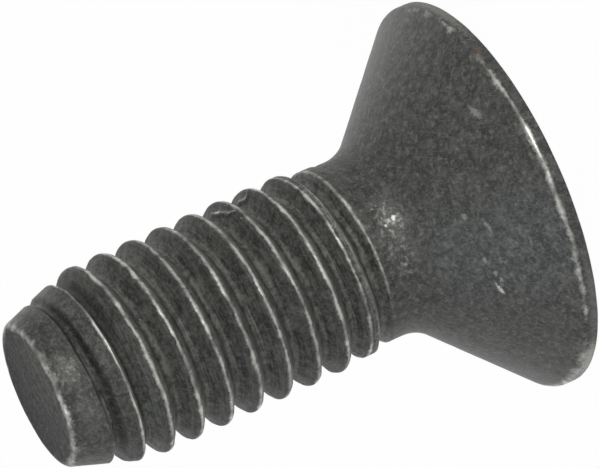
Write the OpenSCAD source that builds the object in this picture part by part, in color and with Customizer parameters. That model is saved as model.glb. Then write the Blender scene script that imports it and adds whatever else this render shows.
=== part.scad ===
// Countersunk socket screw, metric, with a rolled right-hand thread.
// It stands on its head: the flat head face lies on Z = 0 and the tip points up. Lengths are in millimetres.

/* [Head] */
// Diameter over the rim of the head
head_d = 15.8; // [15:0.02:17.9]
// Height of the straight band round the rim
rim_h = 0.54; // [0.4:0.02:1]
// Rounding of the edge between the head face and the rim
rim_edge_r = 0.1; // [0.05:0.01:0.35]
// Included angle of the countersunk cone
cone_angle = 90; // [80:1:100]

/* [Socket] */
// Width across the flats of the hexagon socket
socket_af = 5.02; // [4:0.01:5.08]
// Depth of the socket's flats below the head face
socket_depth = 3.1; // [2:0.1:3.6]
// Included angle of the pressed cone at the bottom of the socket
socket_floor_angle = 140; // [110:1:170]
// Diameter of the socket's conical mouth at the head face
socket_mouth_d = 6.1; // [5.9:0.05:7.6]

/* [Shank] */
// Length from the head face to the tip face
screw_l = 19.58; // [14:0.02:28]
// Diameter of the plain neck under the head, the rolled blank's own size
neck_d = 7.25; // [6.9:0.01:7.5]
// Length of plain neck between the fillet and the first turn
neck_l = 0.15; // [0.05:0.05:2]
// Radius of the fillet between the cone and the neck
fillet_r = 2; // [0.6:0.05:2.4]
// Diameter of the flat face at the tip
tip_d = 5.75; // [4.8:0.01:6.4]
// Slope of the tip's taper, measured from the axis
tip_angle = 19; // [12:0.5:45]
// Size of the rounding where the taper cuts the thread down
tip_blend = 0.14; // [0.05:0.01:0.36]

/* [Thread] */
// Diameter over the thread's crests
thread_d = 7.81; // [7.6:0.01:8]
// Distance from one crest to the next
pitch = 1.25; // [1:0.05:1.5]
// Included angle between the flanks
flank_angle = 60; // [50:1:66]
// Radius of the rounded crest
crest_r = 0.22; // [0.1:0.01:0.25]
// Radius of the rounded root
root_r = 0.18; // [0.1:0.01:0.22]
// Length over which the crests rise from the neck to their full height, flat-topped until then
runout_l = 2.5; // [1:0.05:5]
// Length over which the grooves sink from the neck to their full depth
groove_run_l = 0.65; // [0.4:0.05:3]
// Direction about the axis in which a crest, carried on down, would cross the head face
thread_turn = 282; // [0:1:359]

/* [Hidden] */
steel = "#4c4d4b";
round_faces = 88;
// Facets round one turn of the thread, and points on each rounded crest or root
turn_facets = 40;
arc_points = 4;
row_points = 2 * arc_points;
// The thread's body starts this far inside the neck, and its blank stands this much within it
thread_bury = 0.6;
thread_step = 0.03;
// Rows of the thread nearer than this to an end plane close onto it
row_gap = 0.12;
// Cutters stand this far proud of the faces that they cut
cut_over = 1;
// The mouth's cone ends this far inside the flats, and runs in at this angle to the axis
mouth_over = 0.3;
mouth_angle = 45;

head_r = head_d / 2;
neck_r = neck_d / 2;
cone_slope = tan(cone_angle / 2);
// Height at which the cone would meet the neck with no fillet
corner_z = rim_h + (head_r - neck_r) / cone_slope;
fillet_reach = fillet_r * tan(cone_angle / 4);
fillet_z = corner_z + fillet_reach;
neck_z = fillet_z + neck_l;

socket_r = socket_af / 2 / cos(30);
socket_floor_slope = tan(socket_floor_angle / 2);
socket_floor_h = socket_r / socket_floor_slope;
mouth_r = socket_mouth_d / 2;
mouth_end_r = socket_af / 2 - mouth_over;
mouth_h = (mouth_r - mouth_end_r) / tan(mouth_angle);

tip_slope = tan(tip_angle);
blank_r = neck_r - thread_step;
crest_top = thread_d / 2;
// Each rounded crest and root turns through this angle to either side before it meets the straight flank
arc_half = 90 - flank_angle / 2;
flank_run = pitch / 2 - (crest_r + root_r) * sin(arc_half);
thread_depth = (crest_r + root_r) * (1 - cos(arc_half)) + flank_run / tan(flank_angle / 2);
thread_z = neck_z - thread_bury;
// The rows start a turn below the thread's body and end a turn past the tip, whatever way the thread is turned
first_turn = floor(thread_z / pitch) - 1;
rows = (ceil(screw_l / pitch) + 2 - first_turn) * row_points;

// Section of the head, from the axis out: face, rim, cone, fillet and neck
module head_section() {
    difference() {
        union() {
            polygon([
                [0, 0],
                [head_r - rim_edge_r, 0],
                [head_r, rim_edge_r],
                [head_r, rim_h],
                [neck_r + fillet_reach * sin(cone_angle / 2), corner_z - fillet_reach * cos(cone_angle / 2)],
                [neck_r, fillet_z],
                [neck_r, neck_z],
                [0, neck_z],
            ]);
            translate([head_r - rim_edge_r, rim_edge_r]) circle(rim_edge_r);
        }
        translate([neck_r + fillet_r, fillet_z]) circle(fillet_r);
    }
}

// Hexagon socket with a conical mouth and a shallow cone pressed into its floor
module socket() {
    intersection() {
        translate([0, 0, -cut_over])
            cylinder(h = cut_over + socket_depth + socket_floor_h, r = socket_r, $fn = 6);
        rotate_extrude()
            polygon([
                [0, -cut_over],
                [socket_r + cut_over, -cut_over],
                [socket_r + cut_over, socket_depth - cut_over / socket_floor_slope],
                [0, socket_depth + socket_floor_h],
            ]);
    }
    translate([0, 0, -cut_over])
        cylinder(h = cut_over + mouth_h, r1 = mouth_r + cut_over * tan(mouth_angle), r2 = mouth_end_r);
}

// One point of the thread's profile: its place along the axis from the crest, and its radius
function profile_point(step) =
    let (
        on_crest = step < arc_points,
        turn = arc_half * (2 * (step % arc_points) / (arc_points - 1) - 1)
    )
    on_crest
        ? [crest_r * sin(turn), crest_top - crest_r * (1 - cos(turn))]
        : [pitch / 2 + root_r * sin(turn), crest_top - thread_depth + root_r * (1 - cos(turn))];

// Height of a row of the thread where it passes one facet
function row_z(facet, row) =
    let (turns = first_turn + floor(row / row_points) + facet / turn_facets - thread_turn / 360)
    pitch * turns + profile_point(row % row_points)[0];

// The crests rise and the grooves sink from the blank along the run-out
function risen(z, length) =
    let (share = min(1, max(0, (z - neck_z) / length)))
    share * share * (3 - 2 * share);
function crest_limit(z) = blank_r + (crest_top - blank_r) * risen(z, runout_l);
function root_limit(z) = blank_r + (crest_top - thread_depth - blank_r) * risen(z, groove_run_l);
// The tip's taper cuts the thread down, with a rounded edge
function taper_r(z) = tip_d / 2 + (screw_l - z) * tip_slope;
function soft_min(a, b) =
    let (share = min(1, max(0, 0.5 + 0.5 * (b - a) / tip_blend)))
    b + (a - b) * share - tip_blend * share * (1 - share);
// A crest's flat top along the run-out is level, at the limit for the crest's own height
function thread_r(z, crest_z, profile_r) =
    soft_min(taper_r(z), min(crest_limit(crest_z), max(root_limit(z), profile_r)));

// Rows below the neck's end close onto the buried end, and rows past the tip close onto the tip face
function row_end(facet, row) =
    let (z = row_z(facet, row))
    z < neck_z + row_gap ? -1 : z > screw_l - row_gap ? 1 : 0;
function thread_point(facet, row) =
    let (
        end = row_end(facet, row),
        z = end < 0 ? thread_z : end > 0 ? screw_l : row_z(facet, row),
        profile = profile_point(row % row_points),
        r = end == 0 ? thread_r(z, z - profile[0], profile[1]) : thread_r(z, z, blank_r),
        turn = 360 * facet / turn_facets
    )
    [r * cos(turn), r * sin(turn), z];

// First and last row of each facet that stand clear of the ends
first_row = [for (facet = [0:turn_facets - 1]) len([for (row = [0:rows]) if (row_end(facet, row) < 0) 1]) - 1];
last_row = [for (facet = [0:turn_facets - 1]) rows + 1 - len([for (row = [0:rows]) if (row_end(facet, row) > 0) 1])];

// Past the last facet a row goes on as the first facet's row one turn higher
function point_index(facet, row) =
    facet < turn_facets
        ? facet * (rows + 1) + min(last_row[facet], max(first_row[facet], row))
        : point_index(0, row + row_points);

// The two triangles of a cell, without those that an end has closed to a line
function cell_faces(facet, row) =
    let (
        a = point_index(facet, row),
        b = point_index(facet + 1, row),
        c = point_index(facet + 1, row + 1),
        d = point_index(facet, row + 1)
    )
    [for (face = [[a, d, c], [a, c, b]]) if (face[0] != face[1] && face[1] != face[2] && face[2] != face[0]) face];

// Rolled thread, as a skin of rows that follow the helix, closed by a flat face at each end
module thread() {
    points = [for (facet = [0:turn_facets - 1]) for (row = [0:rows]) thread_point(facet, row)];
    skin = [
        for (facet = [0:turn_facets - 1])
            for (row = [-row_points:rows - 1])
                each cell_faces(facet, row)
    ];
    buried_end = [for (facet = [0:turn_facets - 1]) point_index(facet, 0)];
    tip_face = [for (facet = [turn_facets - 1:-1:0]) point_index(facet, rows)];
    polyhedron(points, concat(skin, [buried_end, tip_face]), convexity = 10);
}

// The whole screw, cold-headed and rolled from one blank
module screw() {
    color(steel)
        union() {
            difference() {
                rotate_extrude($fn = round_faces) head_section($fn = round_faces);
                socket($fn = round_faces);
            }
            thread();
        }
}

screw();
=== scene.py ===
"""Looks of a black countersunk screw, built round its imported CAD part.

The screw stands on its flat head in the CAD frame, with its tip up. Sizes are written in millimetres, the
unit that a maker reads them in, and become metres where they reach a mesh, a lamp or the camera.
"""
import logging
import math
from collections.abc import Callable, Iterable
from dataclasses import dataclass, field
from enum import Enum
from functools import partial

import bmesh
import bpy
from mathutils import Matrix, Vector, noise


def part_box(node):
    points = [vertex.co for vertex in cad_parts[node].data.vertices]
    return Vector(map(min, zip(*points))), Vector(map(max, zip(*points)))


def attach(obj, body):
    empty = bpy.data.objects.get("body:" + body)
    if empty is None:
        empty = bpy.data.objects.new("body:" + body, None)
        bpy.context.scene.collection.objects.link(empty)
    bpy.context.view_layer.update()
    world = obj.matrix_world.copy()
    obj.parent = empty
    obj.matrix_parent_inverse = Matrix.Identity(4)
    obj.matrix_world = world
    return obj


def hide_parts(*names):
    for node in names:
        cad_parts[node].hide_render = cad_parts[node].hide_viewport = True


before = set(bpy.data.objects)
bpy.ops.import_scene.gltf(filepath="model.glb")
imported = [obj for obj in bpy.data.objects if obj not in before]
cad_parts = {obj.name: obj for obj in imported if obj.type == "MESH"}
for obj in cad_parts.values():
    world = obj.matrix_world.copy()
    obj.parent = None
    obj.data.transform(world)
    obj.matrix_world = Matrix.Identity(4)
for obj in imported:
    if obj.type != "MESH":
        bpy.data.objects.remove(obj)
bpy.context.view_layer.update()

MM = 0.001
log = logging.getLogger("screw")

# Short names for types: a span is a start and an end, a place is a radius and a height

Socket = bpy.types.NodeSocket
Value = Socket | float
Tree = bpy.types.NodeTree
Mesh = bmesh.types.BMesh
Edge = bmesh.types.BMEdge
Span = tuple[float, float]
Place = tuple[float, float]
Triple = tuple[float, float, float]


# Helpers for nodes and objects

def linear_colour(code: str) -> tuple[float, float, float, float]:
    """Turns an sRGB hex colour into Blender's linear one.

    Args:
        code: The colour as "#rrggbb".

    Returns:
        Red, green, blue and a full alpha, linear.
    """
    shares = [int(code[place:place + 2], 16) / 255 for place in (1, 3, 5)]
    red, green, blue = (s / 12.92 if s <= 0.04045 else ((s + 0.055) / 1.055) ** 2.4 for s in shares)
    return red, green, blue, 1.0


def empty_tree(owner: bpy.types.Material | bpy.types.World) -> Tree:
    """Turns on the nodes of a material or a world and empties them.

    Args:
        owner: The material or world.

    Returns:
        Its node tree.
    """
    owner.use_nodes = True
    owner.node_tree.nodes.clear()
    return owner.node_tree


def add_node(
    tree: Tree, kind: str, inputs: dict | tuple = (), **settings: object,
) -> bpy.types.NodeOutputs:
    """Adds a shader node with its settings, its input values and its links.

    Args:
        tree: The node tree that gets it.
        kind: The node's type name after "ShaderNode", such as "Math".
        inputs: Values, or output sockets that feed it, in the sockets' order or by their names.
        settings: Attributes of the node itself.

    Returns:
        The new node's outputs.
    """
    node = tree.nodes.new(f"ShaderNode{kind}")
    for name, value in settings.items():
        setattr(node, name, value)
    for socket, value in inputs.items() if isinstance(inputs, dict) else enumerate(inputs):
        if isinstance(value, Socket):
            tree.links.new(value, node.inputs[socket])
        else:
            node.inputs[socket].default_value = value
    return node.outputs


def swing(tree: Tree, parts: Iterable[tuple[Socket, float]]) -> Value:
    """Adds up noises by weight, each with its half taken off so that the sum swings about zero.

    Args:
        tree: The node tree.
        parts: Each noise and its weight.

    Returns:
        The sum.
    """
    total: Value = 0.0
    for value, weight in parts:
        level = add_node(tree, "Math", (value, 0.5), operation="SUBTRACT")[0]
        total = add_node(tree, "Math", (level, weight, total), operation="MULTIPLY_ADD")[0]
    return total


def seen_rays(tree: Tree) -> Socket:
    """Adds a value that is 1 for rays that show the background: seen, mirrored or passed through.

    Args:
        tree: The node tree.

    Returns:
        The value.
    """
    light = add_node(tree, "LightPath")
    pair = (light["Is Camera Ray"], light["Is Glossy Ray"])
    mirrored = add_node(tree, "Math", pair, operation="MAXIMUM")[0]
    return add_node(tree, "Math", (mirrored, light["Is Transmission Ray"]), operation="MAXIMUM")[0]


def add_object(name: str, data: bpy.types.ID) -> bpy.types.Object:
    """Puts a mesh, lamp or camera into the scene.

    Args:
        name: The object's name.
        data: What the object holds.

    Returns:
        The new object.
    """
    obj = bpy.data.objects.new(name, data)
    bpy.context.scene.collection.objects.link(obj)
    return obj


def add_mesh(name: str, mesh: Mesh, material: bpy.types.Material) -> bpy.types.Object:
    """Puts a finished mesh into the scene and lets go of its editing copy.

    Args:
        name: The object's name.
        mesh: The mesh.
        material: The one material on it.

    Returns:
        The new object.
    """
    data = bpy.data.meshes.new(name)
    mesh.to_mesh(data)
    mesh.free()
    data.materials.append(material)
    return add_object(name, data)


# Helpers for forms

def smooth_step(low: float, high: float, value: float) -> float:
    """Gives 0 up to low, 1 from high on and an S-shaped rise between them, whichever is the larger."""
    share = min(1.0, max(0.0, (value - low) / (high - low)))
    return share * share * (3 - 2 * share)


def soft_minimum(first: float, second: float, blend: float) -> float:
    """Gives the smaller of two sizes, with the corner between them rounded over about the blend's size."""
    share = min(1.0, max(0.0, 0.5 + 0.5 * (second - first) / blend))
    return second + (first - second) * share - blend * share * (1 - share)


def between(start: float, end: float, share: float) -> float:
    """Gives the value that lies a share of the way from start to end."""
    return start + (end - start) * share


def arc(centre: Place, radius: float, start: float, end: float, steps: int) -> list[Place]:
    """Lists the points of an arc in the plane of radius and height.

    Args:
        centre: Radius and height of the arc's centre.
        radius: The arc's own radius.
        start: Angle of the first point, in degrees from the outward direction.
        end: Angle of the last point.
        steps: How many straight pieces stand for the arc.

    Returns:
        Radius and height of each point.
    """
    turns = [math.radians(between(start, end, step / steps)) for step in range(steps + 1)]
    return [(centre[0] + radius * math.cos(turn), centre[1] + radius * math.sin(turn)) for turn in turns]


def straight(start: Place, end: Place, steps: int) -> list[Place]:
    """Lists the points between two ends of a straight stretch, without the ends."""
    shares = [step / steps for step in range(1, steps)]
    return [(between(start[0], end[0], share), between(start[1], end[1], share)) for share in shares]


def open_edges(mesh: Mesh, height: float) -> list[Edge]:
    """Finds the open loop of edges that lies at one height.

    Args:
        mesh: The mesh to search.
        height: Height of the loop in millimetres.

    Returns:
        The loop's edges.
    """
    reach = 0.002
    return [
        edge for edge in mesh.edges
        if edge.is_boundary and all(abs(vert.co.z / MM - height) < reach for vert in edge.verts)
    ]


def grow_ring(mesh: Mesh, edges: list[Edge], place: Callable[[float], Place]) -> list[Edge]:
    """Extrudes an open loop into a new ring.

    Args:
        mesh: The mesh that grows.
        edges: The open loop's edges.
        place: Gives the new ring's radius and height, in millimetres, for an angle about the axis.

    Returns:
        The new ring's open edges.
    """
    grown = bmesh.ops.extrude_edge_only(mesh, edges=edges)["geom"]
    for vert in (item for item in grown if isinstance(item, bmesh.types.BMVert)):
        turn = math.atan2(vert.co.y, vert.co.x)
        radius, height = place(turn)
        vert.co = Vector((radius * math.cos(turn), radius * math.sin(turn), height)) * MM
    return [item for item in grown if isinstance(item, Edge) and item.is_boundary]


def close_at_axis(mesh: Mesh, edges: Iterable[Edge], height: float) -> None:
    """Closes an open loop of edges by drawing it to one point on the axis, at a height in millimetres."""
    verts = list({vert for edge in edges for vert in edge.verts})
    bmesh.ops.pointmerge(mesh, verts=verts, merge_co=Vector((0, 0, height)) * MM)


def spin(mesh: Mesh, section: Iterable[Vector], steps: int, rise: float = 0.0) -> None:
    """Spins a section once round the axis, closed on itself, or up a helix where it rises.

    Args:
        mesh: The mesh that gets the skin.
        section: The section's points in millimetres.
        steps: How many columns stand for the turn.
        rise: How far the turn climbs, in millimetres.
    """
    verts = [mesh.verts.new(point * MM) for point in section]
    edges = [mesh.edges.new(pair) for pair in zip(verts, verts[1:])]
    bmesh.ops.spin(
        mesh, geom=verts + edges, cent=(0, 0, 0), axis=(0, 0, 1), dvec=(0, 0, rise * MM / steps),
        angle=math.tau, steps=steps, use_merge=rise == 0,
    )


# Surface marks

class MarkKind(Enum):
    """What a small mark on the steel looks like."""

    SCUFF = "a dull pale rub"
    SPECKS = "scattered pale specks"
    GLINT = "a bright scrape to bare steel"
    RUST = "a brown speck"
    SHADE = "a dark rub"


@dataclass(frozen=True)
class Mark:
    """One small mark on the surface, placed by its turn about the axis and its height."""

    kind: MarkKind
    turn: float
    height: float
    length: float
    width: float
    lean: float = 0.0
    strength: float = 0.6


@dataclass(frozen=True)
class Burr:
    """A lip of steel that a knock has pushed up, along a bent line of turns and heights."""

    path: tuple[Place, ...]
    width: float = 0.09
    rise: float = 0.05

    def near(self, turn: float, height: float, radius: float) -> float:
        """Gives how near a place on the surface is to the lip.

        Args:
            turn: The place's turn from the front, in degrees.
            height: Its height in millimetres.
            radius: Its distance from the axis in millimetres.

        Returns:
            1 on the lip, falling to 0 beside it.
        """
        arc_mm = math.radians(1) * radius
        found = 0.0
        for (start_turn, start_height), (end_turn, end_height) in zip(self.path, self.path[1:]):
            run = Vector(((end_turn - start_turn) * arc_mm, end_height - start_height))
            away = Vector(((turn - start_turn) * arc_mm, height - start_height))
            share = min(1.0, max(0.0, away.dot(run) / run.length_squared))
            found = max(found, smooth_step(self.width, 0.0, (away - run * share).length))
        return found

    def within(self, turn: float, height: float, radius: float, margin: float) -> bool:
        """Tells whether a place lies beside the lip, where the mesh has to be fine.

        Args:
            turn: The place's turn from the front, in degrees.
            height: Its height in millimetres.
            radius: Its distance from the axis in millimetres.
            margin: How far beside the lip still counts, in millimetres.

        Returns:
            True within the margin of the lip's ends and sides.
        """
        turns, heights = zip(*self.path)
        reach = math.degrees(margin / radius)
        on_arc = min(turns) - reach < turn < max(turns) + reach
        return on_arc and min(heights) - margin < height < max(heights) + margin


@dataclass(frozen=True)
class RimRub:
    """How far the rub on the rim's edge reaches at one turn, and how bare it is."""

    turn: float
    reach: float
    wear: float


# Rubs, burrs and marks that the photographed screw carries, by turn from its front and height

RIM_RUBS = [
    RimRub(turn=-180, reach=0.2, wear=0.6), RimRub(turn=-80, reach=0.4, wear=0.9),
    RimRub(turn=-57, reach=0.33, wear=0.85), RimRub(turn=-54, reach=0.03, wear=0.3),
    RimRub(turn=-49, reach=0.03, wear=0.3), RimRub(turn=-45, reach=0.22, wear=0.65),
    RimRub(turn=-25, reach=0.24, wear=0.8), RimRub(turn=-8, reach=0.2, wear=0.92),
    RimRub(turn=5, reach=0.2, wear=1.05), RimRub(turn=20, reach=0.18, wear=1.0),
    RimRub(turn=32, reach=0.22, wear=0.75), RimRub(turn=45, reach=0.28, wear=0.55),
    RimRub(turn=75, reach=0.3, wear=0.5), RimRub(turn=180, reach=0.2, wear=0.6),
]
BURRS = [
    Burr(path=((86, 10.62), (70, 10.52), (61.4, 10.43), (57.2, 10.29), (58.7, 10.2))),
    Burr(path=((77.5, 9.08), (76.7, 9.27), (84, 9.36), (90, 9.42))),
    Burr(path=((21.5, 7.37), (18.6, 7.42), (17.6, 7.56)), width=0.07, rise=0.03),
]
MARKS = [
    Mark(MarkKind.SCUFF, turn=25.3, height=1.53, length=0.9, width=0.3, lean=16, strength=0.75),
    Mark(MarkKind.SCUFF, turn=-4.4, height=3.21, length=0.34, width=0.24, strength=0.7),
    Mark(MarkKind.SCUFF, turn=-10.4, height=2.71, length=0.75, width=0.17, lean=20, strength=0.55),
    Mark(MarkKind.SCUFF, turn=-24.2, height=3.08, length=0.34, width=0.2, strength=0.65),
    Mark(MarkKind.SCUFF, turn=-30.3, height=2.87, length=0.3, width=0.2, strength=0.75),
    Mark(MarkKind.SCUFF, turn=-33.0, height=2.74, length=0.26, width=0.2, strength=0.75),
    Mark(MarkKind.GLINT, turn=-37.4, height=2.83, length=0.58, width=0.2, lean=30, strength=0.75),
    Mark(MarkKind.SCUFF, turn=-18.9, height=1.67, length=0.5, width=0.09, strength=0.4),
    # On the fillet: worn specks and scrapes, which also paint the key lamp's highlight on the fillet into
    # the colour.
    Mark(MarkKind.GLINT, turn=10.1, height=5.21, length=0.3, width=0.22, strength=0.6),
    Mark(MarkKind.GLINT, turn=7.8, height=5.62, length=0.14, width=0.12, strength=0.7),
    Mark(MarkKind.GLINT, turn=9.6, height=5.42, length=0.22, width=0.16, strength=0.45),
    Mark(MarkKind.SPECKS, turn=7.0, height=5.42, length=2.1, width=1.3, strength=0.8),
    Mark(MarkKind.SPECKS, turn=-9.0, height=5.6, length=2.6, width=1.4, strength=0.5),
    Mark(MarkKind.SCUFF, turn=0.0, height=5.3, length=6.0, width=1.5, strength=0.1),
    Mark(MarkKind.SCUFF, turn=8.0, height=18.9, length=1.6, width=0.9, strength=0.25),
    Mark(MarkKind.SCUFF, turn=-28.0, height=18.7, length=2.4, width=0.9, strength=0.15),
    Mark(MarkKind.SPECKS, turn=6.0, height=18.93, length=1.1, width=0.9, strength=0.5),
    Mark(MarkKind.GLINT, turn=24.7, height=15.6, length=0.12, width=0.08, strength=0.6),
    Mark(MarkKind.GLINT, turn=18.5, height=15.61, length=0.12, width=0.1, strength=0.7),
    Mark(MarkKind.GLINT, turn=50.0, height=10.3, length=0.1, width=0.08, strength=0.6),
    Mark(MarkKind.GLINT, turn=26.2, height=13.3, length=0.1, width=0.08, strength=0.5),
    Mark(MarkKind.GLINT, turn=-17.1, height=11.71, length=0.1, width=0.08, strength=0.5),
    Mark(MarkKind.RUST, turn=39.3, height=0.36, length=0.7, width=0.3, strength=0.7),
    Mark(MarkKind.SHADE, turn=-51.2, height=0.57, length=0.5, width=0.25, strength=0.8),
    Mark(MarkKind.SCUFF, turn=-70, height=0.2, length=4.0, width=0.6, strength=0.75),
    Mark(MarkKind.GLINT, turn=-67, height=0.25, length=3.4, width=0.55, strength=0.34),
    Mark(MarkKind.SCUFF, turn=-40, height=0.2, length=5.0, width=0.45, strength=0.3),
    Mark(MarkKind.SCUFF, turn=62, height=0.2, length=5.5, width=0.5, strength=0.55),
]


# Finishes

@dataclass(frozen=True)
class BlackOxideSteel:
    """Alloy steel, cold-headed and rolled, then blackened in a hot bath.

    The bath leaves a thin dark coat of fine crystals, so the eye sees a matte charcoal with a fine mottled
    grain. Rolling leaves hair lines along the thread. Crests and edges rub through to grey steel, which
    shines in thin broken lines. Each noise has a name, the size of its patches in millimetres and its
    detail, and a range is the part of a noise's swing that shows.
    """

    deep: str = "#20211f"
    pale: str = "#474844"
    bare: str = "#b8b6b0"
    rub: str = "#82827c"
    rust: str = "#5a4636"
    shade: str = "#232322"
    coat_range: Span = (-0.13, 0.15)
    coat_metal: float = 0.3
    roughness: float = 0.52
    thread_roughness: float = 0.66
    sheared_roughness: float = 0.95
    bare_roughness: float = 0.38
    sheen: float = 0.06
    sheen_roughness: float = 0.3
    # How strongly the painted light scales the coat's colour.
    painted_light_gain: float = 1.9
    # Strength of the painted shade on the tip face.
    painted_face_shade: float = 0.35
    noise_roughness: float = 0.6
    noises_mm: tuple[tuple[str, float, float], ...] = (
        ("grain", 0.13, 2.0), ("mottle", 0.4, 3.0), ("breaks", 0.5, 1.0), ("fine_breaks", 0.12, 1.0),
        ("dulling", 1.1, 3.0), ("ragged", 0.09, 3.0), ("flecks", 0.2, 2.5), ("specks", 0.2, 4.0),
    )
    grain_share: float = 0.6
    grain_bump: float = 0.8
    grain_height_mm: float = 0.012
    mottle_share: float = 0.65
    hair_share: float = 0.5
    hair_width_mm: float = 0.055
    hair_length_mm: float = 1.8
    streak_width_mm: float = 0.22
    face_depth_mm: float = 0.05
    neck_span_mm: Span = (0.5, 1.2)
    tip_span_mm: Span = (1.6, 2.4)
    break_shares: Span = (0.9, 0.6)
    line_range: Span = (0.4, 1.1)
    dulling_range: Span = (0.38, 0.62)
    dulling_gain: Span = (0.3, 1.35)
    ragged_share: float = 2.2
    mark_range: Span = (1.0, 0.4)
    fleck_range: Span = (0.54, 0.74)
    fleck_strength: float = 0.3
    fleck_thread_strength: float = 0.1
    speck_range: Span = (0.5, 0.82)
    scratch_width_mm: float = 0.06
    scratch_length_mm: float = 1.1
    scratch_range: Span = (0.68, 0.76)
    scratch_strength: float = 0.16
    scratch_leans: tuple[Triple, ...] = ((0.4, 0.5, 0.0), (-0.7, 0.9, 0.3), (1.2, -0.4, 0.6))

    def material(self, marks: list[tuple[Mark, Matrix]], thread: "RolledThread") -> bpy.types.Material:
        """Builds the steel's node material.

        Args:
            marks: Each small mark, with the place and turn of its patch on the surface.
            thread: The thread whose helix the hair lines follow.

        Returns:
            The material.
        """
        steel = bpy.data.materials.new("black_oxide_steel")
        tree = empty_tree(steel)
        place = add_node(tree, "TexCoord")["Object"]
        noises = {}
        for name, size, detail in self.noises_mm:
            scaled = {"Scale": 1 / (size * MM), "Detail": detail, "Roughness": self.noise_roughness}
            noises[name] = add_node(tree, "TexNoise", {"Vector": place, **scaled})[0]
        on_thread = self._on_thread(tree, place, thread)
        hairs = self._hair_lines(tree, place, thread, on_thread)
        texture = swing(tree, (
            (noises["grain"], self.grain_share), (noises["mottle"], self.mottle_share),
            (hairs, self.hair_share),
        ))
        sheared = add_node(tree, "Attribute", attribute_name="sheared")["Fac"]
        wear = self._wear(tree, noises)
        masks = {}
        for kind in MarkKind:
            pairs = [pair for pair in marks if pair[0].kind is kind]
            masks[kind] = self._marked(tree, place, noises["ragged"], pairs)
        spots = add_node(tree, "MapRange", (noises["specks"], *self.speck_range))[0]
        specks = add_node(tree, "Math", (masks[MarkKind.SPECKS], spots), operation="MULTIPLY")[0]
        fleck = (on_thread, 0.0, 1.0, self.fleck_strength, self.fleck_thread_strength)
        fleck_strength = add_node(tree, "MapRange", fleck)[0]
        flecks = (noises["flecks"], *self.fleck_range, 0.0, fleck_strength)
        layers = [
            # Painted shade: the tip face's colour drawn towards the shade colour.
            (add_node(tree, "Math", (sheared, self.painted_face_shade), operation="MULTIPLY")[0], self.shade),
            (add_node(tree, "MapRange", flecks)[0], self.rub),
            (self._scratches(tree, place), self.rub),
            (masks[MarkKind.SHADE], self.shade),
            (masks[MarkKind.SCUFF], self.rub),
            (masks[MarkKind.RUST], self.rust),
            (specks, self.bare),
            (wear, self.bare),
            (masks[MarkKind.GLINT], self.bare),
        ]
        colour = self._coat_colour(tree, texture)
        for mask, code in layers:
            inputs = {"Factor": mask, "A": colour, "B": linear_colour(code)}
            colour = add_node(tree, "Mix", inputs, data_type="RGBA")["Result"]
        shine = add_node(tree, "Math", (wear, masks[MarkKind.GLINT]), operation="MAXIMUM")[0]
        coat = add_node(tree, "MapRange", (on_thread, 0.0, 1.0, self.roughness, self.thread_roughness))[0]
        dull = add_node(tree, "MapRange", (sheared, 0.0, 1.0, coat, self.sheared_roughness))[0]
        relief = {"Height": texture, "Strength": self.grain_bump, "Distance": self.grain_height_mm * MM}
        shader = add_node(tree, "BsdfPrincipled", {
            "Base Color": colour,
            "Metallic": add_node(tree, "MapRange", (shine, 0.0, 1.0, self.coat_metal, 1.0))[0],
            "Roughness": add_node(tree, "MapRange", (shine, 0.0, 1.0, dull, self.bare_roughness))[0],
            "Normal": add_node(tree, "Bump", relief)[0],
            "Sheen Weight": self.sheen,
            "Sheen Roughness": self.sheen_roughness,
        })
        add_node(tree, "OutputMaterial", {"Surface": shader[0]})
        return steel

    def _on_thread(self, tree: Tree, place: Socket, thread: "RolledThread") -> Socket:
        """Adds a value that rises from 0 at the neck to 1 on the thread and falls to 0 on the tip's cone.

        Args:
            tree: The steel's node tree.
            place: Object coordinates.
            thread: The thread.

        Returns:
            The value.
        """
        height = add_node(tree, "SeparateXYZ", (place,))["Z"]
        rise = ((thread.neck_height + step) * MM for step in self.neck_span_mm)
        fall = ((thread.length - step) * MM for step in self.tip_span_mm)
        past_neck = add_node(tree, "MapRange", (height, *rise))[0]
        below_tip = add_node(tree, "MapRange", (height, *fall))[0]
        return add_node(tree, "Math", (past_neck, below_tip), operation="MULTIPLY")[0]

    def _hair_lines(self, tree: Tree, place: Socket, thread: "RolledThread", on_thread: Socket) -> Socket:
        """Adds fine lines along the thread's helix and across the tip face, flat at one half on the head.

        Args:
            tree: The steel's node tree.
            place: Object coordinates.
            thread: The thread whose helix they follow.
            on_thread: 1 on the thread and 0 on the head.

        Returns:
            The lines' value.
        """
        x, y, z = add_node(tree, "SeparateXYZ", (place,))
        front = add_node(tree, "Math", (y, -1.0), operation="MULTIPLY")[0]
        turn = add_node(tree, "Math", (x, front), operation="ARCTAN2")[0]
        lead = -thread.pitch / math.tau * MM
        level = add_node(tree, "Math", (turn, lead, z), operation="MULTIPLY_ADD")[0]
        along = add_node(tree, "Math", (turn, thread.radius / self.hair_length_mm), operation="MULTIPLY")[0]
        across = add_node(tree, "Math", (level, 1 / (self.hair_width_mm * MM)), operation="MULTIPLY")[0]
        run = add_node(tree, "CombineXYZ", (along, across))[0]
        lines = add_node(tree, "TexNoise", {"Vector": run, "Scale": 1.0, "Detail": 1.0})[0]
        inputs = {"Factor": on_thread, "A": 0.5, "B": lines}
        rolled = add_node(tree, "Mix", inputs, data_type="FLOAT")["Result"]
        drawn = {"Vector": place, "Scale": Vector((self.hair_length_mm, self.streak_width_mm, 1.0)) * MM}
        face = add_node(tree, "Mapping", drawn, vector_type="TEXTURE")[0]
        streaks = add_node(tree, "TexNoise", {"Vector": face, "Scale": 1.0, "Detail": 3.0})[0]
        face_height = (thread.length - self.face_depth_mm) * MM
        on_face = add_node(tree, "Math", (z, face_height), operation="GREATER_THAN")[0]
        inputs = {"Factor": on_face, "A": rolled, "B": streaks}
        return add_node(tree, "Mix", inputs, data_type="FLOAT")["Result"]

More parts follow.
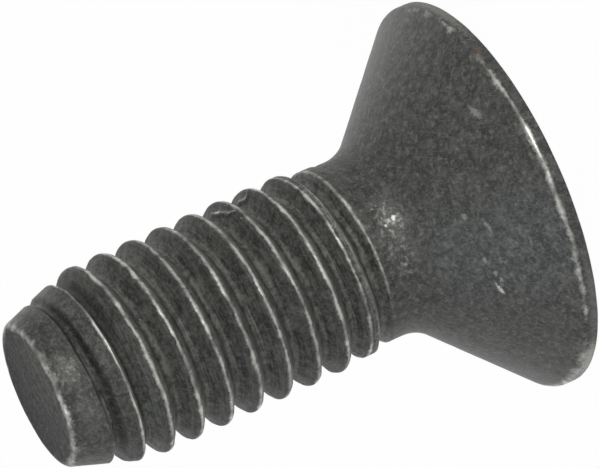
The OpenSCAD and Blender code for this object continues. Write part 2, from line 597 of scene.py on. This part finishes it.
    def _wear(self, tree: Tree, noises: dict[str, Socket]) -> Socket:
        """Adds the share of bare steel: near the worn lines, which noise makes waver, break and dull.

        Args:
            tree: The steel's node tree.
            noises: The steel's noises by name.

        Returns:
            The share.
        """
        near = add_node(tree, "Attribute", attribute_name="edge_wear")["Fac"]
        broken = swing(tree, zip((noises["breaks"], noises["fine_breaks"]), self.break_shares))
        level = add_node(tree, "Math", (near, broken), operation="ADD")[0]
        line = add_node(tree, "MapRange", (level, *self.line_range))[0]
        dulled = (noises["dulling"], *self.dulling_range, *self.dulling_gain)
        rubbed = add_node(tree, "MapRange", dulled)[0]
        return add_node(tree, "Math", (line, rubbed), operation="MULTIPLY")[0]

    def _marked(self, tree: Tree, place: Socket, ragged: Socket, marks: list[tuple[Mark, Matrix]]) -> Value:
        """Adds one mask for several marks.

        Args:
            tree: The steel's node tree.
            place: Object coordinates.
            ragged: The noise that frays their edges.
            marks: Each mark, with the place and turn of its patch on the surface.

        Returns:
            The mask, up to a mark's own strength inside it.
        """
        warp = swing(tree, [(ragged, self.ragged_share)])
        mask: Value = 0.0
        for mark, patch in marks:
            half_size = Vector((mark.length / 2, mark.width / 2, 1.0)) * MM
            inputs = (place, patch.to_translation(), patch.to_euler(), half_size)
            local = add_node(tree, "Mapping", inputs, vector_type="TEXTURE")[0]
            far = add_node(tree, "VectorMath", (local,), operation="LENGTH")["Value"]
            frayed = add_node(tree, "Math", (far, warp), operation="ADD")[0]
            inside = add_node(tree, "MapRange", (frayed, *self.mark_range, 0.0, mark.strength))[0]
            mask = add_node(tree, "Math", (mask, inside), operation="MAXIMUM")[0]
        return mask

    def _scratches(self, tree: Tree, place: Socket) -> Value:
        """Adds a mask of short hair scratches that lie several ways.

        Args:
            tree: The steel's node tree.
            place: Object coordinates.

        Returns:
            The mask, up to the scratches' strength.
        """
        mask: Value = 0.0
        size = Vector((self.scratch_width_mm, self.scratch_width_mm, self.scratch_length_mm)) * MM
        for lean in self.scratch_leans:
            drawn = {"Vector": place, "Rotation": lean, "Scale": size}
            run = add_node(tree, "Mapping", drawn, vector_type="TEXTURE")[0]
            streaks = add_node(tree, "TexNoise", {"Vector": run, "Scale": 1.0, "Detail": 0.0})[0]
            thin = add_node(tree, "MapRange", (streaks, *self.scratch_range, 0.0, self.scratch_strength))[0]
            mask = add_node(tree, "Math", (mask, thin), operation="MAXIMUM")[0]
        return mask

    def _coat_colour(self, tree: Tree, texture: Socket) -> Socket:
        """Adds the mottled coat's colour, made lighter or darker by the painted light stored on the mesh.

        Args:
            tree: The steel's node tree.
            texture: Grain, mottling and hair lines about zero.

        Returns:
            The colour.
        """
        share = add_node(tree, "MapRange", (texture, *self.coat_range))[0]
        inputs = {"Factor": share, "A": linear_colour(self.deep), "B": linear_colour(self.pale)}
        coat = add_node(tree, "Mix", inputs, data_type="RGBA")["Result"]
        # Painted light: a stored value that scales the coat's colour, as painted fill light in the grooves
        # and painted shade in the cut grooves and across the tip face.
        painted_light = add_node(tree, "Attribute", attribute_name="painted_light")["Fac"]
        gain = add_node(tree, "Math", (painted_light, self.painted_light_gain, 1.0), operation="MULTIPLY_ADD")[0]
        return add_node(tree, "VectorMath", {0: coat, "Scale": gain}, operation="SCALE")[0]


@dataclass(frozen=True)
class PaleFloor:
    """Plain white studio floor, which camera and steel see as white, with a faint shadow under the part."""

    colour: str = "#f4f4f4"
    glow: float = 0.97

    def material(self) -> bpy.types.Material:
        """Builds the floor's node material.

        Returns:
            The material.
        """
        floor = bpy.data.materials.new("pale_floor")
        tree = empty_tree(floor)
        share = add_node(tree, "Math", (seen_rays(tree), self.glow), operation="MULTIPLY")[0]
        lit = add_node(tree, "BsdfDiffuse", {"Color": linear_colour(self.colour)})[0]
        white = add_node(tree, "Emission", {"Strength": 1.0})[0]
        mixed = add_node(tree, "MixShader", (share, lit, white))[0]
        add_node(tree, "OutputMaterial", {"Surface": mixed})
        return floor


# Sub-assemblies

@dataclass
class Head:
    """Countersunk head: flat face with its hexagon socket, rim band, cone, fillet and start of the neck."""

    diameter: float
    rim_height: float = 0.54
    face_edge: float = 0.1
    rim_edge: float = 0.2
    fillet: float = 2.0
    neck_radius: float = 3.61
    neck_length: float = 0.15
    neck_joint: float = 0.1
    socket_flats: float = 5.02
    socket_depth: float = 3.1
    socket_mouth: float = 6.1
    socket_floor_angle: float = 140.0
    cone_lean: float = 45.0
    columns: int = 184
    face_edge_steps: int = 8
    rim_edge_steps: int = 6
    fillet_steps: int = 14
    face_rows: int = 10
    rim_rows: int = 4
    cone_rows: int = 44
    wall_rows: int = 6
    floor_shares: tuple[float, ...] = (0.75, 0.5, 0.25, 0.06)

    @property
    def radius(self) -> float:
        """Radius over the rim."""
        return self.diameter / 2

    @property
    def fillet_height(self) -> float:
        """Height at which the fillet meets the neck."""
        corner = self.rim_height + (self.radius - self.neck_radius) / math.tan(math.radians(self.cone_lean))
        return corner + self.fillet * math.tan(math.radians(self.cone_lean / 2))

    @property
    def neck_height(self) -> float:
        """Height at which the thread takes over from the neck."""
        return self.fillet_height + self.neck_length

    def outline(self) -> list[Place]:
        """Lists the section from the socket's mouth out over the rim and up to the neck.

        Returns:
            Radius and height of each point.
        """
        face_end = (self.radius - self.face_edge, self.face_edge)
        rim_drop = self.rim_edge * math.tan(math.radians(self.cone_lean / 2))
        rim_end = (self.radius - self.rim_edge, self.rim_height - rim_drop)
        mouth = (self.socket_mouth / 2, 0.0)
        face_arc = arc(face_end, self.face_edge, -90, 0, self.face_edge_steps)
        rim_arc = arc(rim_end, self.rim_edge, 0, 90 - self.cone_lean, self.rim_edge_steps)
        hollow = (self.neck_radius + self.fillet, self.fillet_height)
        fillet_arc = arc(hollow, self.fillet, 270 - self.cone_lean, 180, self.fillet_steps)
        return [
            mouth, *straight(mouth, face_arc[0], self.face_rows),
            *face_arc, *straight(face_arc[-1], rim_arc[0], self.rim_rows),
            *rim_arc, *straight(rim_arc[-1], fillet_arc[0], self.cone_rows),
            *fillet_arc, (self.neck_radius, self.neck_height - self.neck_joint),
        ]

    def build(self) -> Mesh:
        """Spins the section about the axis and presses the socket into the face.

        Returns:
            The head's mesh, open at the neck.
        """
        mesh = bmesh.new()
        spin(mesh, (Vector((radius, 0, height)) for radius, height in self.outline()), self.columns)
        edges = open_edges(mesh, 0.0)
        for row in range(self.wall_rows + 1):
            edges = grow_ring(mesh, edges, partial(self._on_wall, row / self.wall_rows))
        for share in self.floor_shares:
            edges = grow_ring(mesh, edges, partial(self._on_floor, share))
        close_at_axis(mesh, edges, self._floor_height(0.0))
        return mesh

    def _flat_radius(self, turn: float) -> float:
        """Radius of the hexagon's wall in one direction."""
        sixth = math.pi / 3
        return self.socket_flats / 2 / math.cos(turn % sixth - sixth / 2)

    def _floor_height(self, radius: float) -> float:
        """Height of the socket's pressed floor at one radius."""
        corner = self.socket_flats / 2 / math.cos(math.pi / 6)
        return self.socket_depth + (corner - radius) / math.tan(math.radians(self.socket_floor_angle / 2))

    def _on_wall(self, share: float, turn: float) -> Place:
        """Places a point on the socket's flats, a share of the way from the mouth's cone to the floor."""
        radius = self._flat_radius(turn)
        return radius, between(self.socket_mouth / 2 - radius, self._floor_height(radius), share)

    def _on_floor(self, share: float, turn: float) -> Place:
        """Places a point on the socket's floor, at a share of the hexagon's size."""
        radius = self._flat_radius(turn) * share
        return radius, self._floor_height(radius)


@dataclass
class RolledThread:
    """Right-hand metric thread rolled on the shank, with its run-out at the neck and its tapered tip."""

    length: float
    neck_height: float
    blank_radius: float
    diameter: float = 7.81
    pitch: float = 1.25
    flank_angle: float = 60.0
    crest_radius: float = 0.22
    root_radius: float = 0.18
    runout: float = 2.5
    groove_run: float = 0.65
    start_turn: float = 282.0
    tip_radius: float = 2.875
    tip_lean: float = 19.0
    tip_blend: float = 0.14
    tip_edge: float = 0.24
    tip_groove: float = 0.2
    tip_groove_start: Span = (3.2, 2.0)
    tip_groove_end: Span = (0.9, 1.3)
    tip_groove_side: Span = (0.22, 0.46)
    sway: float = 0.035
    sway_size: float = 0.9
    sway_layers: Triple = (0.7, 2.0, 2)
    sway_neck: Span = (0.2, 1.2)
    sway_tip: Span = (0.5, 1.6)
    columns: int = 184
    root_steps: int = 4
    flank_steps: int = 5
    crest_steps: int = 12
    tip_edge_steps: int = 6
    face_rings: int = 12

    @property
    def radius(self) -> float:
        """Radius over the crests."""
        return self.diameter / 2

    @property
    def arc_half(self) -> float:
        """Angle through which a rounded crest or root turns to either side, in degrees."""
        return 90 - self.flank_angle / 2

    @property
    def depth(self) -> float:
        """Height of the crest over the root.

        Returns:
            The height in millimetres.
        """
        rounds = self.crest_radius + self.root_radius
        half = math.radians(self.arc_half)
        run = self.pitch / 2 - rounds * math.sin(half)
        return rounds * (1 - math.cos(half)) + run / math.tan(math.radians(self.flank_angle / 2))

    @property
    def tip_tangent(self) -> float:
        """Height at which the taper meets the rounded edge of the tip face."""
        return self.length - self.tip_edge * (1 - math.sin(math.radians(self.tip_lean)))

    def taper(self, height: float) -> float:
        """Radius of the tip's taper at one height."""
        return self.tip_radius + (self.length - height) * math.tan(math.radians(self.tip_lean))

    def past_neck(self, span: Span, height: float) -> float:
        """Gives 0 at the span's first distance above the neck's end, rising to 1 at its second."""
        return smooth_step(self.neck_height + span[0], self.neck_height + span[1], height)

    def below_tip(self, span: Span, height: float) -> float:
        """Gives 0 at the span's first distance below the tip face, rising to 1 at its second."""
        return smooth_step(self.length - span[0], self.length - span[1], height)

    def groove_share(self, height: float) -> float:
        """Gives how far the grooves have sunk at one height, from none at the neck to 1."""
        return self.past_neck((0.0, self.groove_run), height)

    def _crest_limit(self, height: float) -> float:
        """Radius that the crests have risen to at one height along the run-out."""
        return between(self.blank_radius, self.radius, self.past_neck((0.0, self.runout), height))

    def _root_limit(self, height: float) -> float:
        """Radius that the grooves have sunk to at one height."""
        return between(self.blank_radius, self.radius - self.depth, self.groove_share(height))

    def profile(self) -> list[Place]:
        """Lists one pitch of the profile, from root to root over the crest.

        Returns:
            Radius and place along the axis of each point.
        """
        crest = (self.radius - self.crest_radius, 0.0)
        low_root = (self.radius - self.depth + self.root_radius, -self.pitch / 2)
        high_root = (low_root[0], self.pitch / 2)
        half = self.arc_half
        low_arc = arc(low_root, self.root_radius, 180, 180 - half, self.root_steps)
        crest_arc = arc(crest, self.crest_radius, -half, half, self.crest_steps)
        high_arc = arc(high_root, self.root_radius, 180 + half, 180, self.root_steps)
        return [
            *low_arc, *straight(low_arc[-1], crest_arc[0], self.flank_steps),
            *crest_arc, *straight(crest_arc[-1], high_arc[0], self.flank_steps),
            *high_arc,
        ]

    def build(self) -> Mesh:
        """Winds the profile into a skin, trims it, shapes its ends and closes the tip.

        Returns:
            The thread's mesh, open at the neck.
        """
        mesh = self._wind()
        self._trim(mesh, self.neck_height, clear_inner=True)
        self._trim(mesh, self.tip_tangent, clear_outer=True)
        for vert in mesh.verts:
            vert.co.xy *= self._shaped(vert.co) * MM / vert.co.xy.length
        for vert in mesh.verts:
            vert.co.z += self._sway_at(vert.co) * MM
        self._close_tip(mesh)
        return mesh

    def _wind(self) -> Mesh:
        """Spins one turn of the profile up the helix and stacks copies of it a pitch apart.

        Returns:
            The skin, longer than the thread at both ends.
        """
        mesh = bmesh.new()
        start = math.radians(self.start_turn)
        first_turn = math.floor(self.neck_height / self.pitch) - 2
        turns = math.ceil(self.length / self.pitch) + 1 - first_turn
        section = [
            Vector((radius * math.cos(start), radius * math.sin(start), first_turn * self.pitch + along))
            for radius, along in self.profile()
        ]
        spin(mesh, section, self.columns, rise=self.pitch)
        one_turn = [*mesh.verts, *mesh.edges, *mesh.faces]
        for turn in range(1, turns):
            copied = bmesh.ops.duplicate(mesh, geom=one_turn)["geom"]
            moved = [item for item in copied if isinstance(item, bmesh.types.BMVert)]
            bmesh.ops.translate(mesh, vec=(0, 0, turn * self.pitch * MM), verts=moved)
        bmesh.ops.remove_doubles(mesh, verts=mesh.verts, dist=0.001 * MM)
        return mesh

    @staticmethod
    def _trim(mesh: Mesh, height: float, **side: bool) -> None:
        """Cuts the skin level at one height and clears what lies inside or outside the cut.

        Args:
            mesh: The skin.
            height: Height of the cut in millimetres.
            side: clear_inner for what lies below the cut, or clear_outer for what lies above it.
        """
        everything = [*mesh.verts, *mesh.edges, *mesh.faces]
        bmesh.ops.bisect_plane(
            mesh, geom=everything, dist=1e-8, plane_co=(0, 0, height * MM), plane_no=(0, 0, 1), **side,
        )

    def _shaped(self, point: Vector) -> float:
        """Gives a point's radius once the run-out has flattened its crest and the tip's taper has cut it.

        Args:
            point: The point on the full thread, in metres.

        Returns:
            The radius in millimetres.
        """
        height = point.z / MM
        gap = self._turn_gap(point)
        level = min(self._crest_limit(height - gap), max(self._root_limit(height), point.xy.length / MM))
        formed = between(self._crest_limit(height), level, self.groove_share(height))
        deeper = self.tip_groove * smooth_step(*self.tip_groove_side, abs(gap))
        deeper *= self.below_tip(self.tip_groove_start, height) * self.below_tip(self.tip_groove_end, height)
        return soft_minimum(formed - deeper, self.taper(height), self.tip_blend)

    def _turn_gap(self, point: Vector) -> float:
        """Gives the distance along the axis from the nearest crest of the true helix up to a point."""
        turns = point.z / MM / self.pitch - math.atan2(point.y, point.x) / math.tau + self.start_turn / 360
        return (turns - round(turns)) * self.pitch

    def _sway_at(self, point: Vector) -> float:
        """Gives how far a point wavers along the axis, as rolled crests do away from the neck and the tip.

        Args:
            point: The point, in metres.

        Returns:
            The distance in millimetres.
        """
        height = point.z / MM
        held = self.past_neck(self.sway_neck, height) * self.below_tip(self.sway_tip, height)
        return self.sway * held * noise.fractal(point / (self.sway_size * MM), *self.sway_layers)

    def crest_gap(self, point: Vector) -> float:
        """Gives the distance along the axis from the nearest wavering crest up to a point."""
        return self._turn_gap(point - Vector((0, 0, self._sway_at(point) * MM)))

    def flat_half(self, height: float) -> float:
        """Gives half the width of a crest's flat top, along the run-out or where the taper cuts it.

        Args:
            height: Height in millimetres.

        Returns:
            Half the width in millimetres, none where the crest is round.
        """
        drop = max(0.0, self.radius - min(self._crest_limit(height), self.taper(height)))
        half = math.radians(self.arc_half)
        on_flank = drop - self.crest_radius * (1 - math.cos(half))
        if on_flank < 0:
            return self.crest_radius * math.sin(math.acos(1 - drop / self.crest_radius))
        return self.crest_radius * math.sin(half) + on_flank * math.tan(math.radians(self.flank_angle / 2))

    def _close_tip(self, mesh: Mesh) -> None:
        """Rounds the tip's edge and closes its flat face.

        Args:
            mesh: The thread's skin, open at the tip.
        """
        inset = self.tip_edge * math.cos(math.radians(self.tip_lean))
        edge_centre = (self.taper(self.tip_tangent) - inset, self.length - self.tip_edge)
        edge_arc = arc(edge_centre, self.tip_edge, self.tip_lean, 90, self.tip_edge_steps)
        face_radius = edge_arc[-1][0]
        shares = [ring / self.face_rings for ring in range(self.face_rings - 1, 0, -1)]
        edges = open_edges(mesh, self.tip_tangent)
        for ring in [*edge_arc[1:], *((face_radius * share, self.length) for share in shares)]:
            edges = grow_ring(mesh, edges, lambda _turn, ring=ring: ring)
        close_at_axis(mesh, edges, self.length)


@dataclass(frozen=True)
class PaintedGrooveLight:
    """Painted light on the thread: painted fill light on the flanks of the grooves, by their distance from
    the crest, painted shade in the cut grooves near the tip, and painted light and shade across the tip
    face, lighter towards the front.
    """

    tip_side: float = 0.85
    tip_side_span: Span = (0.12, 0.5)
    root_loss: float = 0.35
    head_side: float = 0.5
    head_side_start: float = 0.38
    crest: float = 0.7
    crest_span: Span = (0.42, 0.22)
    cut_groove_shade: float = 0.25
    cut_groove_shade_depth: Span = (0.03, 0.14)
    face: float = 0.1
    face_lean: float = 0.6
    face_depth: float = 0.03

    def held(self, gap: float, root: float) -> float:
        """Gives the painted fill light that a whole groove gets at one place.

        Args:
            gap: Distance along the axis from the nearest crest up to the place.
            root: Distance from a crest to the root beside it.

        Returns:
            The painted light, from none at 0.
        """
        if gap > 0:
            loss = self.root_loss * smooth_step(self.tip_side_span[1], root, gap)
            return self.tip_side * smooth_step(*self.tip_side_span, gap) - loss
        low = self.head_side * smooth_step(self.head_side_start, root, -gap)
        return low + self.crest * smooth_step(*self.crest_span, -gap)


@dataclass(frozen=True)
class EdgeWear:
    """How far the rubs on crests, burrs, tip and rim reach, and how bare they are."""

    crest_reach: float = 0.17
    crest_lean: float = 0.03
    crest_waver: float = 0.03
    crest_waver_size: float = 1.1
    cut_reach: float = 0.07
    cut_gain: float = 0.5
    cut_span: Span = (-0.12, 0.02)
    neck_span: Span = (0.48, 0.6)
    tip_span: Span = (0.95, 1.8)
    lip: float = 0.75
    tip: float = 0.75
    tip_reach: float = 0.45
    tip_inset: float = 0.08
    tip_drop: float = 0.05
    rim_zone: float = 0.4
    rim_span: Span = (0.6, 0.4)
    rim_waver: float = 0.05
    rim_waver_size: float = 0.8


@dataclass
class Screw:
    """The whole screw: one piece of steel, joined from its head and its thread, with its wear."""

    finish: BlackOxideSteel
    head: Head
    thread: RolledThread
    rim_rubs: list[RimRub] = field(default_factory=list)
    burrs: list[Burr] = field(default_factory=list)
    marks: list[Mark] = field(default_factory=list)
    painted_light: PaintedGrooveLight = PaintedGrooveLight()
    wear: EdgeWear = EdgeWear()
    sharp_angle: float = 50.0
    rough_height: float = 0.006
    rough_size: float = 0.7
    rough_layers: Triple = (0.8, 2.0, 3)
    burr_margin: float = 0.4
    burr_cuts: int = 3
    patch_step: float = 0.05

    def build(self) -> bpy.types.Object:
        """Joins the meshes, wears them and dresses the screw.

        Returns:
            The finished object, riding on the part's body in place of its CAD node.
        """
        mesh = self._joined()
        self._raise_burrs(mesh)
        self._record_wear_and_painted_light(mesh)
        self._roughen(mesh)
        limit = math.radians(self.sharp_angle)
        for face in mesh.faces:
            face.smooth = True
        for edge in mesh.edges:
            edge.smooth = len(edge.link_faces) != 2 or edge.calc_face_angle() < limit
        patches = [(mark, self._patch(mark)) for mark in self.marks]
        screw = add_mesh("steel_screw", mesh, self.finish.material(patches, self.thread))
        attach(screw, "root")
        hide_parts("screw")
        return screw

    def _joined(self) -> Mesh:
        """Builds the head and the thread and bridges them at the neck.

        Returns:
            The screw's closed mesh.
        """
        mesh = self.head.build()
        lower = open_edges(mesh, self.head.neck_height - self.head.neck_joint)
        thread_mesh = self.thread.build()
        carried = bpy.data.meshes.new("thread")
        thread_mesh.to_mesh(carried)
        thread_mesh.free()
        mesh.from_mesh(carried)
        bpy.data.meshes.remove(carried)
        upper = [edge for edge in open_edges(mesh, self.thread.neck_height) if edge not in lower]
        bmesh.ops.bridge_loops(mesh, edges=lower + upper)
        bmesh.ops.recalc_face_normals(mesh, faces=mesh.faces)
        return mesh

    def surface_radius(self, height: float) -> float:
        """Gives the radius of the plain form, without the thread's ridges.

        Args:
            height: Height in millimetres.

        Returns:
            The radius in millimetres.
        """
        outline = [point for point in self.head.outline() if point[0] > self.head.socket_mouth / 2]
        for (low_radius, low), (high_radius, high) in zip(outline, outline[1:]):
            if low <= height <= high and high > low:
                return between(low_radius, high_radius, (height - low) / (high - low))
        return min(self.thread.radius, self.thread.taper(height))

    def _patch(self, mark: Mark) -> Matrix:
        """Gives the place and turn of a mark's patch.

        Args:
            mark: The mark.

        Returns:
            A matrix with the mark's length, its width and the surface's outward direction as its axes.
        """
        turn = math.radians(mark.turn - 90)
        step = self.patch_step
        out = Vector((math.cos(turn), math.sin(turn), 0))
        round_the_axis = Vector((-math.sin(turn), math.cos(turn), 0))
        rise = self.surface_radius(mark.height + step) - self.surface_radius(mark.height - step)
        up = (out * rise + Vector((0, 0, 2 * step))).normalized()
        normal = round_the_axis.cross(up)
        lean = math.radians(mark.lean)
        along = round_the_axis * math.cos(lean) + up * math.sin(lean)
        turned = Matrix((along, normal.cross(along), normal)).transposed().to_4x4()
        centre = out * self.surface_radius(mark.height) + Vector((0, 0, mark.height))
        return Matrix.Translation(centre * MM) @ turned

    @staticmethod
    def _turn(point: Vector) -> float:
        """Gives a point's turn from the front, in degrees."""
        return math.degrees(math.atan2(point.x, -point.y))

    def _burr_near(self, burr: Burr, point: Vector) -> float:
        """Gives how near a point of the mesh is to a burr's lip."""
        return burr.near(self._turn(point), point.z / MM, self.thread.radius)

    def _raise_burrs(self, mesh: Mesh) -> None:
        """Divides the mesh finely round each burr and raises its lip.

        Args:
            mesh: The screw's mesh.
        """
        for burr in self.burrs:
            close = {
                vert for vert in mesh.verts
                if burr.within(self._turn(vert.co), vert.co.z / MM, self.thread.radius, self.burr_margin)
            }
            edges = [edge for edge in mesh.edges if all(vert in close for vert in edge.verts)]
            bmesh.ops.subdivide_edges(mesh, edges=edges, cuts=self.burr_cuts, use_grid_fill=True)
        mesh.normal_update()
        for vert in mesh.verts:
            for burr in self.burrs:
                vert.co += vert.normal * burr.rise * self._burr_near(burr, vert.co) * MM

    def _record_wear_and_painted_light(self, mesh: Mesh) -> None:
        """Stores how near each point is to a worn line, its painted light, and where the tip was sheared.

        Args:
            mesh: The screw's mesh.
        """
        wear = mesh.verts.layers.float.new("edge_wear")
        painted_light = mesh.verts.layers.float.new("painted_light")
        sheared = mesh.verts.layers.float.new("sheared")
        for vert in mesh.verts:
            height = vert.co.z / MM
            if height < self.head.rim_height + self.wear.rim_zone:
                vert[wear] = self._rim_rub(vert.co)
            elif self.thread.neck_height < height:
                if height < self.thread.tip_tangent:
                    lip = max(self._burr_near(burr, vert.co) for burr in self.burrs)
                    vert[wear] = max(self._crest_rub(vert.co), lip * self.wear.lip)
                    # Painted fill light in the grooves, and painted shade in the cut grooves near the tip.
                    vert[painted_light] = self._painted_groove_light(vert.co)
                across = vert.co.y / MM / self.thread.tip_radius
                vert[sheared] = self.thread.below_tip((self.painted_light.face_depth, 0.0), height)
                # Painted light and shade across the tip face: lighter towards the front, darker towards the
                # back.
                vert[painted_light] += vert[sheared] * (self.painted_light.face - self.painted_light.face_lean * across)
                vert[wear] = max(vert[wear], self._tip_rub(vert.co))

    def _tip_rub(self, point: Vector) -> float:
        """Gives how near a point is to the edge of the tip face, which is softly rubbed.

        Args:
            point: The point, in metres.

        Returns:
            The strength of the rub.
        """
        outward = point.xy.length / MM - self.thread.tip_radius + self.wear.tip_inset
        upward = point.z / MM - self.thread.length + self.wear.tip_drop
        return self.wear.tip * max(0.0, 1 - math.hypot(outward, upward) / self.wear.tip_reach)

    def _rim_rub(self, point: Vector) -> float:
        """Gives how near a point is to the rim's upper edge, whose rub wavers and changes round the rim.

        Args:
            point: The point, in metres.

        Returns:
            The strength of the rub.
        """
        wave = self.wear.rim_waver * noise.noise(point / (self.wear.rim_waver_size * MM))
        away = abs(point.z / MM - self.head.rim_height + wave)
        inner, outer = (self.head.radius - inset for inset in self.wear.rim_span)
        on_rim = smooth_step(inner, outer, point.xy.length / MM)
        turn = self._turn(point)
        start, end = next(pair for pair in zip(self.rim_rubs, self.rim_rubs[1:]) if turn <= pair[1].turn)
        share = (turn - start.turn) / (end.turn - start.turn)
        reach = between(start.reach, end.reach, share)
        return on_rim * between(start.wear, end.wear, share) * max(0.0, 1 - away / reach)

    def _painted_groove_light(self, point: Vector) -> float:
        """Gives the painted fill light in a groove, below none where painted shade darkens the cut grooves
        near the tip.

        Args:
            point: The point, in metres.

        Returns:
            The painted light.
        """
        gap = self.thread.crest_gap(point)
        height = point.z / MM
        root = self.thread.pitch / 2
        groove = height - gap + math.copysign(root, gap)
        whole = self._full_thread(height)
        # Painted shade in the cut grooves near the tip, deeper below the taper.
        sunk = smooth_step(*self.painted_light.cut_groove_shade_depth, self.thread.taper(height) - point.xy.length / MM)
        held = self.painted_light.held(gap, root) * self.thread.groove_share(groove)
        return held * whole - self.painted_light.cut_groove_shade * sunk * (1 - whole)

    def _crest_rub(self, point: Vector) -> float:
        """Gives how near a point is to a worn line, along each crest or along both edges of a flat one.

        Args:
            point: The point, in metres.

        Returns:
            The strength of the rub.
        """
        wear = self.wear
        height = point.z / MM
        waver = wear.crest_waver * noise.noise(point / (wear.crest_waver_size * MM))
        gap = self.thread.crest_gap(point) + wear.crest_lean + waver
        away = abs(abs(gap) - self.thread.flat_half(height))
        cut = 1 - self._full_thread(height)
        near = (1 + wear.cut_gain * cut) * max(0.0, 1 - away / (wear.crest_reach + wear.cut_reach * cut))
        near *= self.thread.past_neck(wear.neck_span, height)
        if gap > 0:
            return near * (1 - cut)
        return near * self.thread.below_tip(wear.tip_span, height) * self.thread.groove_share(height + gap)

    def _full_thread(self, height: float) -> float:
        """Gives 1 where the tip's taper leaves the thread whole, and 0 where it cuts the crests away."""
        low, high = (self.thread.radius + step for step in self.wear.cut_span)
        return smooth_step(low, high, self.thread.taper(height))

    def _roughen(self, mesh: Mesh) -> None:
        """Sinks each point by up to a few microns, as the blank's own surface is never true.

        Args:
            mesh: The screw's mesh.
        """
        mesh.normal_update()
        for vert in mesh.verts:
            rough = noise.fractal(vert.co / (self.rough_size * MM), *self.rough_layers)
            vert.co += vert.normal * min(0.0, rough - 1.0) * self.rough_height * MM


# Studio

@dataclass
class Lamp:
    """One soft box, placed from the camera's view: right, up and towards the camera from the screw."""

    name: str
    right: float
    up: float
    towards: float
    size: float
    power: float
    colour: str = "#ffffff"


@dataclass
class Studio:
    """White tent with soft boxes, and the camera at the photo's angle."""

    floor_finish: PaleFloor
    lamps: list[Lamp]
    aim: Triple = (1.50, -0.63, 7.85)
    elevation: float = 18.09
    roll: float = 114.10
    distance: float = 175.0
    view_width: float = 22.61
    sensor: float = 36.0
    nearest: float = 1.0
    floor_size: float = 1200.0
    tent_level: float = 0.55

    @property
    def axes(self) -> tuple[Vector, Vector, Vector]:
        """The camera's own directions.

        Returns:
            Right, up and backward.
        """
        lean = math.radians(self.elevation)
        turn = math.radians(self.roll)
        level_up = Vector((0, math.sin(lean), math.cos(lean)))
        level_right = Vector((1, 0, 0))
        right = level_right * math.cos(turn) - level_up * math.sin(turn)
        up = level_right * math.sin(turn) + level_up * math.cos(turn)
        return right, up, Vector((0, -math.cos(lean), math.sin(lean)))

    def build(self) -> None:
        """Sets the floor, the tent, the lamps and the camera."""
        bpy.context.scene.view_settings.view_transform = "Standard"
        self._lay_floor()
        self._hang_tent()
        for lamp in self.lamps:
            self._place_lamp(lamp)
        self._place_camera()

    def _lay_floor(self) -> None:
        """Lays the floor that the screw stands on."""
        mesh = bmesh.new()
        bmesh.ops.create_grid(mesh, x_segments=1, y_segments=1, size=self.floor_size / 2 * MM)
        floor = add_mesh("floor", mesh, self.floor_finish.material())

    def _hang_tent(self) -> None:
        """Surrounds the scene with white, seen as white and lighting at a plain level."""
        world = bpy.data.worlds.new("tent")
        tree = empty_tree(world)
        level = add_node(tree, "MapRange", (seen_rays(tree), 0.0, 1.0, self.tent_level, 1.0))[0]
        light = add_node(tree, "Background", {"Color": linear_colour("#ffffff"), "Strength": level})[0]
        add_node(tree, "OutputWorld", {"Surface": light})
        bpy.context.scene.world = world

    def _place_lamp(self, lamp: Lamp) -> None:
        """Hangs one soft box and turns it to the screw.

        Args:
            lamp: The soft box.
        """
        right, up, back = self.axes
        offset = right * lamp.right + up * lamp.up + back * lamp.towards
        data = bpy.data.lights.new(lamp.name, "AREA")
        data.size = lamp.size * MM
        data.energy = lamp.power
        data.color = linear_colour(lamp.colour)[:3]
        turned = offset.to_track_quat("Z", "Y").to_matrix().to_4x4()
        box = add_object(lamp.name, data)
        box.matrix_world = Matrix.Translation((Vector(self.aim) + offset) * MM) @ turned

    def _place_camera(self) -> None:
        """Sets the camera at the photo's distance, angle and roll."""
        right, up, back = self.axes
        data = bpy.data.cameras.new("camera")
        data.sensor_width = self.sensor
        data.lens = self.sensor * self.distance / self.view_width
        data.clip_start = self.nearest * MM
        turned = Matrix((right, up, back)).transposed().to_4x4()
        camera = add_object("camera", data)
        camera.matrix_world = Matrix.Translation((Vector(self.aim) + back * self.distance) * MM) @ turned
        bpy.context.scene.camera = camera


def main() -> None:
    """Builds the screw and its studio in order and logs each piece."""
    logging.basicConfig(level=logging.INFO, format="%(message)s")
    low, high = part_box("screw")
    head = Head(diameter=(high.x - low.x) / MM)
    thread = RolledThread(
        length=(high.z - low.z) / MM, neck_height=head.neck_height, blank_radius=head.neck_radius,
    )
    screw = Screw(BlackOxideSteel(), head, thread, rim_rubs=RIM_RUBS, burrs=BURRS, marks=MARKS)
    obj = screw.build()
    log.info("%s: %d faces", obj.name, len(obj.data.polygons))
    studio = Studio(
        PaleFloor(),
        [
            Lamp("key_box", right=62, up=115, towards=270, size=80, power=0.86),
            Lamp("left_fill", right=-205, up=106, towards=-208, size=160, power=0.05),
            Lamp("cool_fill", right=-150, up=-170, towards=110, size=160, power=0.16, colour="#dce5f3"),
        ],
    )
    studio.build()
    log.info("studio: floor, tent, %d lamps and camera", len(studio.lamps))


if __name__ == "__main__":
    main()
